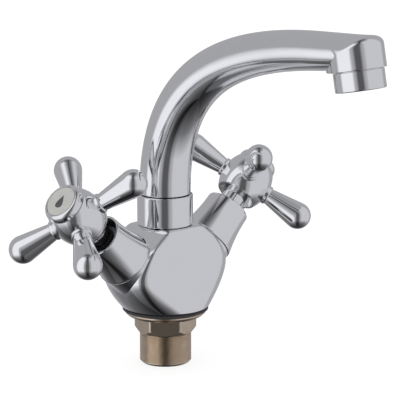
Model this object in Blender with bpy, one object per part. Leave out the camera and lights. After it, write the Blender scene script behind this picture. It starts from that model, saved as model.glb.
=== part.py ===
"""Two-handle basin mixer with a swivelling cast spout, as separate pieces.

+Z is up.  The origin is the centre of the foot flange's underside, where the
mixer seats on the basin.  The spout points to -Y, the hot handle is at -X and
the cold handle at +X.  The arm pieces and the handles are turned about an arm
axis: in their own frames +Z runs outwards along that axis from the point
where it crosses the mixer's centre line.
"""

import math

import bmesh
import bpy
from mathutils import Matrix, Vector

MM = 0.001
GAP = 0.3 * MM  # clearance between pieces that touch
BREAK = 0.5 * MM  # broken edge of turned pieces
CUT_MARGIN = 2.0 * MM  # how far a cutter runs past the face that it opens

# Foot and shank
FLANGE_RADIUS = 22.0 * MM
FLANGE_THICKNESS = 2.5 * MM
FLANGE_BEVEL = 1.6 * MM
SEAL_RADIUS = 23.3 * MM
SEAL_THICKNESS = 1.7 * MM
SHANK_RADIUS = 14.0 * MM
SHANK_LENGTH = 26.6 * MM
SHANK_BORE_RADIUS = 11.0 * MM
SHANK_SPIGOT_RADIUS = 12.2 * MM
SHANK_SPIGOT_LENGTH = 9.0 * MM
SHANK_END_CHAMFER = 1.2 * MM
HEX_CORNER_RADIUS = 16.9 * MM
HEX_HEIGHT = 9.7 * MM
HEX_CHAMFER_SLOPE = math.radians(50.0)
HEX_FACING = math.radians(14.0)  # turn of one corner from +X

# Body
FOOT_RADIUS = 23.6 * MM
BODY_HEIGHT = 45.0 * MM
BODY_TOP_HALF_DEPTH = 16.3 * MM
BODY_DEPTH_POWER = 1.25
BODY_FOOT_SQUARENESS = 2.0
BODY_TOP_SQUARENESS = 6.0
BODY_WIDE_HALF_WIDTH = 37.5 * MM
BODY_WIDE_HEIGHT = 30.0 * MM
TOP_HALF_LENGTH = 13.0 * MM
SHOULDER_SLOPE = math.radians(36.0)

# Arms, as distances along the arm axis and radii about it
ARM_TILT = math.radians(40.9)
ARM_CROSSING_HEIGHT = 8.6 * MM
ARM_FACE = 40.5 * MM
BOSS_RADIUS = 15.0 * MM
BOSS_STAND = 0.5 * MM
NECK_RADIUS = 11.0 * MM
NECK_LENGTH = 13.2 * MM
CARTRIDGE_BORE_RADIUS = 9.3 * MM
CARTRIDGE_BORE_DEPTH = 25.0 * MM
BELL_BASE_RADIUS = 15.3 * MM
BELL_RIM_RADIUS = 12.4 * MM
BELL_LENGTH = 24.6 * MM
BELL_LIP = 1.2 * MM
BELL_WALL = 1.3 * MM
BELL_WEB = 1.5 * MM

# Headwork, counted from the bottom of the cartridge bore
SEAT_SEAL_THICKNESS = 2.0 * MM
DISC_RADIUS = 7.0 * MM
DISC_THICKNESS = 2.5 * MM
DISC_PORT_RADIUS = 1.9 * MM
DISC_PORT_OFFSET = 3.9 * MM
SPINDLE_RADIUS = 4.0 * MM
SPINDLE_FOOT_THICKNESS = 3.0 * MM
HEADWORK_HEX_RADIUS = 10.6 * MM
HEADWORK_HEX_HEIGHT = 4.5 * MM
HEADWORK_HEX_CHAMFER = 0.8 * MM
HEADWORK_RING_RISE = 6.0 * MM
HEADWORK_NECK_RADIUS = 6.9 * MM
WATERWAY_RADIUS = 3.0 * MM
RING_SECTION = 0.75 * MM
RING_FLOOR_ROOM = 0.1 * MM
RING_SIDE_ROOM = 0.2 * MM
RING_RELIEF = 0.05 * MM  # how much slimmer a ring is than its groove asks
SPINDLE_RING_RISE = 8.0 * MM

# Handles, as distances along the arm axis and radii about it
LEVER_PLANE = 84.3 * MM
HUB_RADIUS = 14.2 * MM
HUB_HALF_LENGTH = 17.7 * MM
HUB_REAR = 10.4 * MM
HUB_FRONT = 10.9 * MM
HUB_RECESS_DEPTH = 3.6 * MM
HUB_RIM_WALL = 1.2 * MM
HUB_NECK_ROOM = 0.5 * MM
HUB_WEB = 5.8 * MM
HUB_POCKET_RADIUS = 7.9 * MM
SCREW_RADIUS = 2.0 * MM
SCREW_HEAD_RADIUS = 4.5 * MM
SCREW_HEAD_HEIGHT = 2.8 * MM
SCREW_LENGTH = 14.0 * MM
SCREW_SLOT_LENGTH = 6.0 * MM
SCREW_SLOT_WIDTH = 0.8 * MM
SCREW_SLOT_DEPTH = 1.2 * MM
CAP_RADIUS = 11.0 * MM
CAP_HEIGHT = 4.3 * MM
CAP_EDGE = 1.2 * MM
CAP_SKIRT_LENGTH = 5.0 * MM
CAP_SKIRT_WALL = 1.2 * MM
CAP_HOLLOW = 1.0 * MM
INDEX_RADIUS = 8.4 * MM
INDEX_THICKNESS = 0.8 * MM
LEVER_COUNT = 4
LEVER_FIRST_ANGLE = math.radians(45.0)
LEVER_SEAT = 12.7 * MM
LEVER_STUD_RADIUS = 2.5 * MM
LEVER_STUD_LENGTH = 3.4 * MM
LEVER_COLLAR_RADIUS = 5.4 * MM
LEVER_COLLAR_HEIGHT = 2.2 * MM
LEVER_ROOT_RADIUS = 4.6 * MM
BULB_RADIUS = 7.5 * MM
BULB_DISTANCE = 34.8 * MM

# Swivel joint, counted up from the body's top
COLLAR_RADIUS = 15.0 * MM
COLLAR_HEIGHT = 16.3 * MM
COLLAR_LIP = 5.0 * MM
UPSTAND_RADIUS = 12.6 * MM
UPSTAND_HEIGHT = 7.2 * MM
UPSTAND_ROOT = 5.0 * MM
NIPPLE_RADIUS = 8.8 * MM
NIPPLE_BORE_RADIUS = 5.5 * MM
NIPPLE_DEPTH = 10.0 * MM
NIPPLE_PLUG_LENGTH = 7.5 * MM
NIPPLE_RING_RISES = (3.0 * MM, 9.0 * MM)
CHAMBER_DEPTH = 14.0 * MM
RETAINER_THICKNESS = 2.0 * MM
RETAINER_GROOVE_DEPTH = 1.3 * MM
GLIDE_THICKNESS = 1.0 * MM

# Spout
SPOUT_RADIUS = 13.8 * MM
SPOUT_WALL = 2.5 * MM
SPOUT_TIP_HALF_HEIGHT = 8.9 * MM
SPOUT_TAPER_POWER = 1.3
SPOUT_RISE_HANDLE = 55.9 * MM
SPOUT_ARM_HANDLE = 71.9 * MM
SPOUT_ARM_REACH = 105.7 * MM
SPOUT_ARM_RISE = 87.0 * MM
SPOUT_ARM_SLOPE = math.radians(3.4)
NOZZLE_RADIUS = 14.0 * MM
NOZZLE_REACH = 132.6 * MM
NOZZLE_DROP = 8.3 * MM  # mouth's centre below the arm's line at the tip
NOZZLE_TILT = math.radians(11.0)
NOZZLE_EDGE = 4.0 * MM
NOZZLE_SETBACK = 0.25 * MM
HEEL_RADIUS = 10.0 * MM
HEEL_OFFSET = 7.5 * MM
HEEL_HEIGHT = 11.0 * MM
FUNNEL_LEDGE = 1.0 * MM
FUNNEL_HEIGHT = 3.0 * MM

# Aerator
AERATOR_RADIUS = 12.7 * MM
AERATOR_LENGTH = 10.0 * MM
AERATOR_THREAD_RADIUS = 11.5 * MM
AERATOR_THREAD_LENGTH = 5.0 * MM
AERATOR_BORE_RADIUS = 10.0 * MM
AERATOR_LIP = 0.9 * MM
AERATOR_WASHER = 1.6 * MM
SCREEN_THICKNESS = 0.8 * MM
SCREEN_HOLE_RADIUS = 0.6 * MM
INSERT_HOLE_RADIUS = 2.0 * MM
INSERT_CUP_DEPTH = 3.0 * MM
INSERT_RIM = 2.0 * MM

# Heights that follow from the sizes above
SEAL_FOOT = FLANGE_THICKNESS + GAP
BODY_FOOT = SEAL_FOOT + SEAL_THICKNESS + GAP
BODY_TOP = BODY_FOOT + BODY_HEIGHT
COLLAR_FOOT = BODY_TOP + GAP
COLLAR_TOP = COLLAR_FOOT + COLLAR_HEIGHT
SPOUT_FOOT = COLLAR_TOP + GAP
NECK_END = ARM_FACE + NECK_LENGTH
CARTRIDGE_SEAT = NECK_END - CARTRIDGE_BORE_DEPTH
SPINDLE_BORE_RADIUS = SPINDLE_RADIUS + GAP
HUB_BACK = LEVER_PLANE - HUB_REAR
HUB_NOSE = LEVER_PLANE + HUB_FRONT
HUB_RECESS_END = HUB_BACK + HUB_RECESS_DEPTH
HUB_SOCKET_END = LEVER_PLANE - HUB_WEB / 2
HUB_POCKET_FLOOR = LEVER_PLANE + HUB_WEB / 2

# Facets of turned pieces
FINE = 28
ROUND = 20
SMALL = 12


def clear_scene():
    """Remove whatever the file holds."""
    for thing in list(bpy.data.objects):
        bpy.data.objects.remove(thing, do_unlink=True)


def make_material(name, colour, roughness, metallic):
    """A Principled material."""
    material = bpy.data.materials.new(name)
    material.use_nodes = True
    shader = material.node_tree.nodes["Principled BSDF"]
    shader.inputs["Base Color"].default_value = (*colour, 1.0)
    shader.inputs["Roughness"].default_value = roughness
    shader.inputs["Metallic"].default_value = metallic
    return material


def add_empty(name, matrix):
    """An empty that carries the pieces of one axis."""
    empty = bpy.data.objects.new(name, None)
    empty.matrix_world = matrix
    bpy.context.collection.objects.link(empty)
    return empty


def add_piece(name, bm, material, parent=None):
    """Turn a bmesh into a named, smooth shaded object on its parent's axis."""
    bmesh.ops.recalc_face_normals(bm, faces=bm.faces)
    mesh = bpy.data.meshes.new(name)
    bm.to_mesh(mesh)
    bm.free()
    mesh.shade_smooth()
    mesh.set_sharp_from_angle(angle=math.radians(35.0))
    if material:
        mesh.materials.append(material)
    piece = bpy.data.objects.new(name, mesh)
    piece.parent = parent
    bpy.context.collection.objects.link(piece)
    return piece


def revolve(profile, segments=ROUND):
    """Turn a closed outline of (radius, height) points about +Z."""
    bm = bmesh.new()
    corners = [bm.verts.new((radius, 0.0, height)) for radius, height in profile]
    edges = [bm.edges.new((a, b)) for a, b in zip(corners, corners[1:] + corners[:1])]
    on_axis = [e for e in edges if all(v.co.x < 1e-9 for v in e.verts)]
    spun = [e for e in edges if e not in on_axis]
    bmesh.ops.spin(bm, geom=spun, axis=(0, 0, 1), cent=(0, 0, 0),
                   angle=2 * math.pi, steps=segments)
    bmesh.ops.remove_doubles(bm, verts=bm.verts, dist=1e-6)
    loose = [e for e in bm.edges if not e.link_faces]
    bmesh.ops.delete(bm, geom=loose, context='EDGES')
    return bm


def arc(centre_radius, centre_height, radius, start, end, steps):
    """Points of a round stretch of an outline, angles in degrees."""
    angles = [math.radians(start + (end - start) * i / steps) for i in range(steps + 1)]
    return [(centre_radius + radius * math.cos(a), centre_height + radius * math.sin(a))
            for a in angles]


def tube(inner, outer, low, high, segments=ROUND):
    """A plain ring."""
    return revolve([(inner, low), (outer, low), (outer, high), (inner, high)], segments)


def rod(radius, low, high, segments=ROUND):
    """A plain cylinder."""
    return revolve([(0, low), (radius, low), (radius, high), (0, high)], segments)


def torus(radius, section, height, segments=ROUND):
    """A rubber ring of round section."""
    outline = arc(radius, height, section, 0, 360, 6)[:-1]
    return revolve(outline, segments)


def prism(corners, low, high):
    """A solid between two heights over a flat outline of (x, y) points."""
    bm = bmesh.new()
    face = bm.faces.new([bm.verts.new((x, y, low)) for x, y in corners])
    grown = bmesh.ops.extrude_face_region(bm, geom=[face])
    moved = [v for v in grown["geom"] if isinstance(v, bmesh.types.BMVert)]
    bmesh.ops.translate(bm, verts=moved, vec=(0, 0, high - low))
    return bm


def loft(rings):
    """Skin a list of closed rings of points and cap both ends."""
    bm = bmesh.new()
    rows = [[bm.verts.new(point) for point in ring] for ring in rings]
    for low, high in zip(rows, rows[1:]):
        count = len(low)
        for i in range(count):
            j = (i + 1) % count
            bm.faces.new((low[i], low[j], high[j], high[i]))
    bm.faces.new(rows[0][::-1])
    bm.faces.new(rows[-1])
    return bm


def moved(bm, matrix):
    """Place a cutter's bmesh inside its piece's frame."""
    bmesh.ops.transform(bm, matrix=matrix, verts=bm.verts)
    return bm


def combine(piece, bm, operation):
    """Boolean a hidden tool into a piece."""
    tool = add_piece(piece.name + "_tool", bm, None, piece.parent)
    tool.hide_render = True
    tool.display_type = 'WIRE'
    modifier = piece.modifiers.new(operation.lower(), 'BOOLEAN')
    modifier.operation = operation
    modifier.solver = 'EXACT'
    modifier.object = tool


def arm_matrix(side):
    """Frame of the arm on one side: -1 is hot, +1 is cold."""
    turn = side * (math.pi / 2 - ARM_TILT)
    return Matrix.Translation((0, 0, ARM_CROSSING_HEIGHT)) @ Matrix.Rotation(turn, 4, 'Y')


def along(start, end):
    """Frame whose +Z runs from one point to another."""
    direction = Vector(end) - Vector(start)
    return Matrix.Translation(start) @ direction.to_track_quat('Z', 'Y').to_matrix().to_4x4()


def make_shank(brass):
    """Foot flange, hexagon and threaded tail in one turned fitting."""
    half_flange = FLANGE_RADIUS - FLANGE_BEVEL
    profile = [(0, -SHANK_LENGTH),
               (SHANK_RADIUS - SHANK_END_CHAMFER, -SHANK_LENGTH),
               (SHANK_RADIUS, -SHANK_LENGTH + SHANK_END_CHAMFER),
               (SHANK_RADIUS, 0), (half_flange, 0), (FLANGE_RADIUS, FLANGE_BEVEL),
               (FLANGE_RADIUS, FLANGE_THICKNESS),
               (SHANK_SPIGOT_RADIUS, FLANGE_THICKNESS),
               (SHANK_SPIGOT_RADIUS, FLANGE_THICKNESS + SHANK_SPIGOT_LENGTH),
               (0, FLANGE_THICKNESS + SHANK_SPIGOT_LENGTH)]
    shank = add_piece("shank", revolve(profile, FINE), brass)
    drop = (HEX_CORNER_RADIUS - SHANK_RADIUS) * math.tan(HEX_CHAMFER_SLOPE)
    overlap = FLANGE_THICKNESS / 2
    rows = [(SHANK_RADIUS, -HEX_HEIGHT), (HEX_CORNER_RADIUS, drop - HEX_HEIGHT),
            (HEX_CORNER_RADIUS, overlap)]
    rings = []
    for radius, height in rows:
        ring = []
        for i in range(12):
            angle = HEX_FACING + i * math.pi / 6
            flat = HEX_CORNER_RADIUS * math.cos(math.pi / 6)
            reach = min(radius, flat) if i % 2 else radius
            ring.append((reach * math.cos(angle), reach * math.sin(angle), height))
        rings.append(ring)
    combine(shank, loft(rings), 'UNION')
    bore = rod(SHANK_BORE_RADIUS, -SHANK_LENGTH - CUT_MARGIN,
               FLANGE_THICKNESS + SHANK_SPIGOT_LENGTH + CUT_MARGIN, ROUND)
    combine(shank, bore, 'DIFFERENCE')


def body_section(height):
    """Half width, half depth and squareness of the body at a height above its foot."""
    wide = min(height / BODY_WIDE_HEIGHT, 1.0)
    up = height / BODY_HEIGHT
    half_width = BODY_WIDE_HALF_WIDTH - (BODY_WIDE_HALF_WIDTH - FOOT_RADIUS) * (1 - wide) ** 2
    half_depth = BODY_TOP_HALF_DEPTH + (FOOT_RADIUS - BODY_TOP_HALF_DEPTH) * (1 - up) ** BODY_DEPTH_POWER
    squareness = BODY_FOOT_SQUARENESS + (BODY_TOP_SQUARENESS - BODY_FOOT_SQUARENESS) * up
    return half_width, half_depth, squareness


def body_ring(height):
    """Superellipse outline of the body at a height above its foot."""
    half_width, half_depth, squareness = body_section(height)
    power = 2.0 / squareness
    ring = []
    for i in range(FINE):
        angle = 2 * math.pi * i / FINE
        x, y = math.cos(angle), math.sin(angle)
        ring.append((math.copysign(abs(x) ** power, x) * half_width,
                     math.copysign(abs(y) ** power, y) * half_depth,
                     BODY_FOOT + height))
    return ring


def plane_off(bm, point, normal):
    """Plane away what lies beyond a point along a normal, and close the face."""
    geometry = bm.verts[:] + bm.edges[:] + bm.faces[:]
    result = bmesh.ops.bisect_plane(bm, geom=geometry, plane_co=point, plane_no=normal,
                                    clear_outer=True, dist=1e-7)
    rim = [e for e in result["geom_cut"] if isinstance(e, bmesh.types.BMEdge)]
    bmesh.ops.contextual_create(bm, geom=rim)


def make_body(chrome):
    """Cast body: a round foot that widens to two shoulders, bored for the waterways."""
    steps = [0.0, 0.07, 0.16, 0.27, 0.4, 0.55, 0.7, 0.85, 1.0]
    bm = loft([body_ring(step * BODY_HEIGHT) for step in steps])
    for side in (-1, 1):
        axis = Vector((side * math.cos(ARM_TILT), 0, math.sin(ARM_TILT)))
        face = Vector((0, 0, ARM_CROSSING_HEIGHT)) + axis * (ARM_FACE - BOSS_STAND)
        plane_off(bm, face, axis)
        edge = (side * TOP_HALF_LENGTH, 0, BODY_TOP)
        plane_off(bm, edge, (side * math.sin(SHOULDER_SLOPE), 0, math.cos(SHOULDER_SLOPE)))
    body = add_piece("body", bm, chrome)
    for side in (-1, 1):
        frame = arm_matrix(side)
        boss = revolve([(0, ARM_FACE / 2), (BOSS_RADIUS, ARM_FACE / 2),
                        (BOSS_RADIUS, ARM_FACE), (NECK_RADIUS, ARM_FACE),
                        (NECK_RADIUS, NECK_END), (0, NECK_END)])
        combine(body, moved(boss, frame), 'UNION')
    upstand = rod(UPSTAND_RADIUS, BODY_TOP - UPSTAND_ROOT, BODY_TOP + UPSTAND_HEIGHT)
    combine(body, upstand, 'UNION')
    chamber_floor = BODY_TOP - CHAMBER_DEPTH
    combine(body, rod(NIPPLE_RADIUS + GAP, chamber_floor, BODY_TOP + UPSTAND_HEIGHT + CUT_MARGIN),
            'DIFFERENCE')
    socket_top = FLANGE_THICKNESS + SHANK_SPIGOT_LENGTH + GAP
    combine(body, rod(SHANK_SPIGOT_RADIUS + GAP, BODY_FOOT - CUT_MARGIN, socket_top), 'DIFFERENCE')
    outlet_height = chamber_floor + WATERWAY_RADIUS
    # Each outlet ends one waterway radius past the near wall of the cartridge bore.
    outlet_reach = (outlet_height - ARM_CROSSING_HEIGHT) / math.tan(ARM_TILT) \
        - CARTRIDGE_BORE_RADIUS / math.sin(ARM_TILT) + WATERWAY_RADIUS
    for side in (-1, 1):
        frame = arm_matrix(side)
        bore = rod(CARTRIDGE_BORE_RADIUS, CARTRIDGE_SEAT, NECK_END + CUT_MARGIN)
        combine(body, moved(bore, frame), 'DIFFERENCE')
        seat = frame @ Vector((0, 0, CARTRIDGE_SEAT + CUT_MARGIN))
        entry = Vector((side * SHANK_BORE_RADIUS / 2, 0, socket_top - CUT_MARGIN))
        inlet = rod(WATERWAY_RADIUS, 0, (seat - entry).length, SMALL)
        combine(body, moved(inlet, along(entry, seat)), 'DIFFERENCE')
        start = Vector((0, 0, outlet_height))
        end = Vector((side * outlet_reach, 0, outlet_height))
        outlet = rod(WATERWAY_RADIUS, 0, (end - start).length, SMALL)
        combine(body, moved(outlet, along(start, end)), 'DIFFERENCE')


def make_foot_seal(rubber):
    """Rubber ring between the flange and the body."""
    inner = SHANK_SPIGOT_RADIUS + GAP
    add_piece("foot_seal", tube(inner, SEAL_RADIUS, SEAL_FOOT, SEAL_FOOT + SEAL_THICKNESS, FINE),
              rubber)


def bell_radius(distance):
    """Outer radius of the bell: a straight lip, then a flare that closes to the rim."""
    start = ARM_FACE + GAP + BELL_LIP
    end = ARM_FACE + GAP + BELL_LENGTH
    share = max(0.0, (distance - start) / (end - start))
    return BELL_RIM_RADIUS + (BELL_BASE_RADIUS - BELL_RIM_RADIUS) * (1 - share) ** 2


def make_bell(side_name, arm, chrome):
    """Flared cover over the arm's neck, held by a web under the headwork's hexagon."""
    base = ARM_FACE + GAP
    rim = base + BELL_LENGTH
    web = NECK_END + GAP
    outer = [(BELL_BASE_RADIUS, base)]
    steps = 4
    for i in range(steps + 1):
        distance = base + BELL_LIP + (rim - BELL_WALL / 2 - base - BELL_LIP) * i / steps
        outer.append((bell_radius(distance), distance))
    inner_rim = BELL_RIM_RADIUS - BELL_WALL
    outer += [(BELL_RIM_RADIUS - BELL_WALL / 2, rim), (inner_rim, rim - BELL_WALL / 2),
              (inner_rim, web + BELL_WEB),
              (CARTRIDGE_BORE_RADIUS, web + BELL_WEB), (CARTRIDGE_BORE_RADIUS, web),
              (NECK_RADIUS + GAP, web), (NECK_RADIUS + GAP, base)]
    add_piece(side_name + "_bell", revolve(outer), chrome, arm)


def make_headwork(side_name, arm, chrome, rubber, ceramic):
    """Ceramic cartridge: plated shell, seat seal and fixed disc."""
    seal_top = CARTRIDGE_SEAT + GAP + SEAT_SEAL_THICKNESS
    shell_foot = seal_top + GAP
    disc_room = shell_foot + 2 * (DISC_THICKNESS + GAP) + SPINDLE_FOOT_THICKNESS + GAP
    barrel = CARTRIDGE_BORE_RADIUS - GAP
    groove = disc_room + HEADWORK_RING_RISE
    hex_foot = NECK_END + GAP + BELL_WEB + GAP
    hex_top = hex_foot + HEADWORK_HEX_HEIGHT
    neck_top = HUB_RECESS_END - 2.5 * GAP
    room = DISC_RADIUS + GAP
    groove_floor = barrel - 2 * RING_SECTION - RING_FLOOR_ROOM
    half_groove = RING_SECTION + RING_SIDE_ROOM
    flat = HEADWORK_HEX_RADIUS * math.cos(math.pi / 6)
    profile = [(room, shell_foot), (barrel, shell_foot), (barrel, groove - half_groove),
               (groove_floor, groove - half_groove), (groove_floor, groove + half_groove),
               (barrel, groove + half_groove), (barrel, hex_foot), (flat, hex_foot),
               (flat, hex_top), (HEADWORK_NECK_RADIUS, hex_top + HEADWORK_HEX_CHAMFER),
               (HEADWORK_NECK_RADIUS, neck_top), (SPINDLE_BORE_RADIUS, neck_top),
               (SPINDLE_BORE_RADIUS, disc_room), (room, disc_room)]
    shell = add_piece(side_name + "_headwork", revolve(profile), chrome, arm)
    corners = [(HEADWORK_HEX_RADIUS * math.cos(i * math.pi / 3),
                HEADWORK_HEX_RADIUS * math.sin(i * math.pi / 3)) for i in range(6)]
    nut = prism(corners, hex_foot + HEADWORK_HEX_CHAMFER / 2, hex_top - HEADWORK_HEX_CHAMFER / 2)
    combine(shell, nut, 'UNION')
    combine(shell, rod(SPINDLE_BORE_RADIUS, hex_foot - CUT_MARGIN, hex_top + CUT_MARGIN),
            'DIFFERENCE')
    window = rod(WATERWAY_RADIUS * 0.7, -barrel - MM, barrel + MM, 8)
    turn = Matrix.Translation((0, 0, disc_room - SPINDLE_FOOT_THICKNESS / 2))
    combine(shell, moved(window, turn @ Matrix.Rotation(math.pi / 2, 4, 'X')), 'DIFFERENCE')
    add_piece(side_name + "_headwork_ring",
              torus(barrel - RING_SECTION, RING_SECTION - RING_RELIEF, groove), rubber, arm)
    add_piece(side_name + "_seat_seal",
              tube(WATERWAY_RADIUS + MM, barrel - GAP, CARTRIDGE_SEAT + GAP, seal_top, SMALL),
              rubber, arm)
    add_disc(side_name + "_fixed_disc", arm, shell_foot, ceramic)
    return shell_foot


def add_disc(name, parent, foot, ceramic):
    """Ceramic disc with its two ports."""
    disc = add_piece(name, rod(DISC_RADIUS, foot, foot + DISC_THICKNESS, SMALL), ceramic, parent)
    for side in (-1, 1):
        port = rod(DISC_PORT_RADIUS, foot - MM, foot + DISC_THICKNESS + MM, 8)
        place = Matrix.Translation((side * DISC_PORT_OFFSET, 0, 0))
        combine(disc, moved(port, place), 'DIFFERENCE')


def make_spindle(side_name, arm, shell_foot, brass, rubber, ceramic):
    """Moving disc, spindle and its rubber ring."""
    disc_foot = shell_foot + DISC_THICKNESS + GAP
    add_disc(side_name + "_moving_disc", arm, disc_foot, ceramic)
    foot = disc_foot + DISC_THICKNESS + GAP
    shoulder = foot + SPINDLE_FOOT_THICKNESS
    top = HUB_SOCKET_END - GAP
    ring_height = NECK_END + SPINDLE_RING_RISE
    ring_floor = SPINDLE_RADIUS - 2 * RING_SECTION
    half_groove = RING_SECTION + RING_FLOOR_ROOM
    hole = SCREW_RADIUS + GAP
    hole_foot = HUB_POCKET_FLOOR - SCREW_LENGTH
    profile = [(0, foot), (DISC_RADIUS - GAP, foot), (DISC_RADIUS - GAP, shoulder),
               (SPINDLE_RADIUS, shoulder), (SPINDLE_RADIUS, ring_height - half_groove),
               (ring_floor, ring_height - half_groove), (ring_floor, ring_height + half_groove),
               (SPINDLE_RADIUS, ring_height + half_groove), (SPINDLE_RADIUS, top),
               (hole, top), (hole, hole_foot), (0, hole_foot)]
    add_piece(side_name + "_spindle", revolve(profile, SMALL), brass, arm)
    add_piece(side_name + "_spindle_ring",
              torus(SPINDLE_RADIUS - RING_SECTION + RING_FLOOR_ROOM, RING_SECTION - RING_FLOOR_ROOM,
                    ring_height, SMALL), rubber, arm)


def hub_radius(distance):
    """Globe of the hub: an ellipse about the lever plane."""
    share = (distance - LEVER_PLANE) / HUB_HALF_LENGTH
    return HUB_RADIUS * math.sqrt(1 - share * share)


def make_hub(side_name, arm, chrome):
    """Turned hub with a recess at the back, a screw web and four lever seats."""
    outline = []
    steps = 8
    for i in range(steps + 1):
        distance = HUB_BACK + (HUB_NOSE - HUB_BACK) * i / steps
        outline.append((hub_radius(distance), distance))
    recess_mouth = hub_radius(HUB_BACK) - HUB_RIM_WALL
    recess_floor = HEADWORK_NECK_RADIUS + HUB_NECK_ROOM
    socket = SPINDLE_RADIUS + GAP
    outline += [(HUB_POCKET_RADIUS, HUB_NOSE), (HUB_POCKET_RADIUS, HUB_POCKET_FLOOR),
                (SCREW_RADIUS + GAP, HUB_POCKET_FLOOR), (SCREW_RADIUS + GAP, HUB_SOCKET_END),
                (socket, HUB_SOCKET_END), (socket, HUB_RECESS_END),
                (recess_floor, HUB_RECESS_END)]
    for i in range(1, 4):
        share = i / 3
        outline.append((recess_floor + (recess_mouth - recess_floor) * share,
                        HUB_RECESS_END - HUB_RECESS_DEPTH * math.sin(share * math.pi / 2)))
    hub = add_piece(side_name + "_hub", revolve(outline), chrome, arm)
    hole_floor = LEVER_SEAT + GAP - LEVER_STUD_LENGTH - GAP
    for i in range(LEVER_COUNT):
        seat = revolve([(0, hole_floor), (LEVER_STUD_RADIUS + GAP, hole_floor),
                        (LEVER_STUD_RADIUS + GAP, LEVER_SEAT),
                        (LEVER_COLLAR_RADIUS + GAP, LEVER_SEAT),
                        (LEVER_COLLAR_RADIUS + GAP, HUB_RADIUS + CUT_MARGIN),
                        (0, HUB_RADIUS + CUT_MARGIN)], SMALL)
        combine(hub, moved(seat, lever_matrix(i)), 'DIFFERENCE')


def lever_matrix(index):
    """Frame of one lever inside its handle: +Z runs out along the lever."""
    angle = LEVER_FIRST_ANGLE + index * 2 * math.pi / LEVER_COUNT
    direction = Vector((math.cos(angle), math.sin(angle), 0))
    turn = direction.to_track_quat('Z', 'Y').to_matrix().to_4x4()
    return Matrix.Translation((0, 0, LEVER_PLANE)) @ turn


def lever_profile():
    """Stud, collar, a cone and the ball that it runs into."""
    seat = LEVER_SEAT + GAP
    root = seat + LEVER_COLLAR_HEIGHT
    reach = BULB_DISTANCE - root
    slope = math.asin(BULB_RADIUS / math.hypot(reach, LEVER_ROOT_RADIUS)) \
        - math.atan2(LEVER_ROOT_RADIUS, reach)
    start = 180.0 - (90.0 - math.degrees(slope))
    outline = [(0, seat - LEVER_STUD_LENGTH), (LEVER_STUD_RADIUS, seat - LEVER_STUD_LENGTH),
               (LEVER_STUD_RADIUS, seat), (LEVER_COLLAR_RADIUS, seat),
               (LEVER_COLLAR_RADIUS, root - BREAK), (LEVER_COLLAR_RADIUS - BREAK, root),
               (LEVER_ROOT_RADIUS, root)]
    ball = [(BULB_RADIUS * math.sin(math.radians(a)), BULB_DISTANCE + BULB_RADIUS
             * math.cos(math.radians(a))) for a in [start - (start * i / 5) for i in range(5)]]
    return outline + ball + [(0, BULB_DISTANCE + BULB_RADIUS)]


def make_levers(side_name, arm, chrome):
    """Four equal levers screwed into the hub."""
    for i in range(LEVER_COUNT):
        bm = moved(revolve(lever_profile(), SMALL), lever_matrix(i))
        add_piece(f"{side_name}_lever_{i + 1}", bm, chrome, arm)


def make_cap(side_name, arm, chrome, enamel, steel):
    """Bezel, index disc and the screw that they cover."""
    foot = HUB_NOSE + GAP
    top = foot + CAP_HEIGHT
    recess = INDEX_RADIUS + GAP
    floor = top - INDEX_THICKNESS - GAP
    skirt = HUB_POCKET_RADIUS - GAP
    rounding = arc(CAP_RADIUS - CAP_EDGE, top - CAP_EDGE, CAP_EDGE, 0, 90, 3)
    profile = [(CAP_RADIUS, foot)] + rounding
    skirt_foot = foot - CAP_SKIRT_LENGTH
    hollow = foot + CAP_HOLLOW
    profile += [(recess, top), (recess, floor), (0, floor), (0, hollow),
                (skirt - CAP_SKIRT_WALL, hollow), (skirt - CAP_SKIRT_WALL, skirt_foot),
                (skirt, skirt_foot), (skirt, foot)]
    add_piece(side_name + "_cap", revolve(profile), chrome, arm)
    add_piece(side_name + "_index", rod(INDEX_RADIUS, floor + GAP, top), enamel, arm)
    head = HUB_POCKET_FLOOR + GAP
    screw = [(0, head + GAP - SCREW_LENGTH), (SCREW_RADIUS, head + GAP - SCREW_LENGTH),
             (SCREW_RADIUS, head), (SCREW_HEAD_RADIUS, head),
             (SCREW_HEAD_RADIUS, head + SCREW_HEAD_HEIGHT * 0.6),
             (SCREW_HEAD_RADIUS * 0.7, head + SCREW_HEAD_HEIGHT), (0, head + SCREW_HEAD_HEIGHT)]
    piece = add_piece(side_name + "_handle_screw", revolve(screw, SMALL), steel, arm)
    half_long, half_wide = SCREW_SLOT_LENGTH / 2, SCREW_SLOT_WIDTH / 2
    slot_floor = head + SCREW_HEAD_HEIGHT - SCREW_SLOT_DEPTH
    for turn in (0, math.pi / 2):
        slot = prism([(-half_long, -half_wide), (half_long, -half_wide),
                      (half_long, half_wide), (-half_long, half_wide)],
                     slot_floor, head + SCREW_HEAD_HEIGHT + CUT_MARGIN)
        combine(piece, moved(slot, Matrix.Rotation(turn, 4, 'Z')), 'DIFFERENCE')


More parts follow.
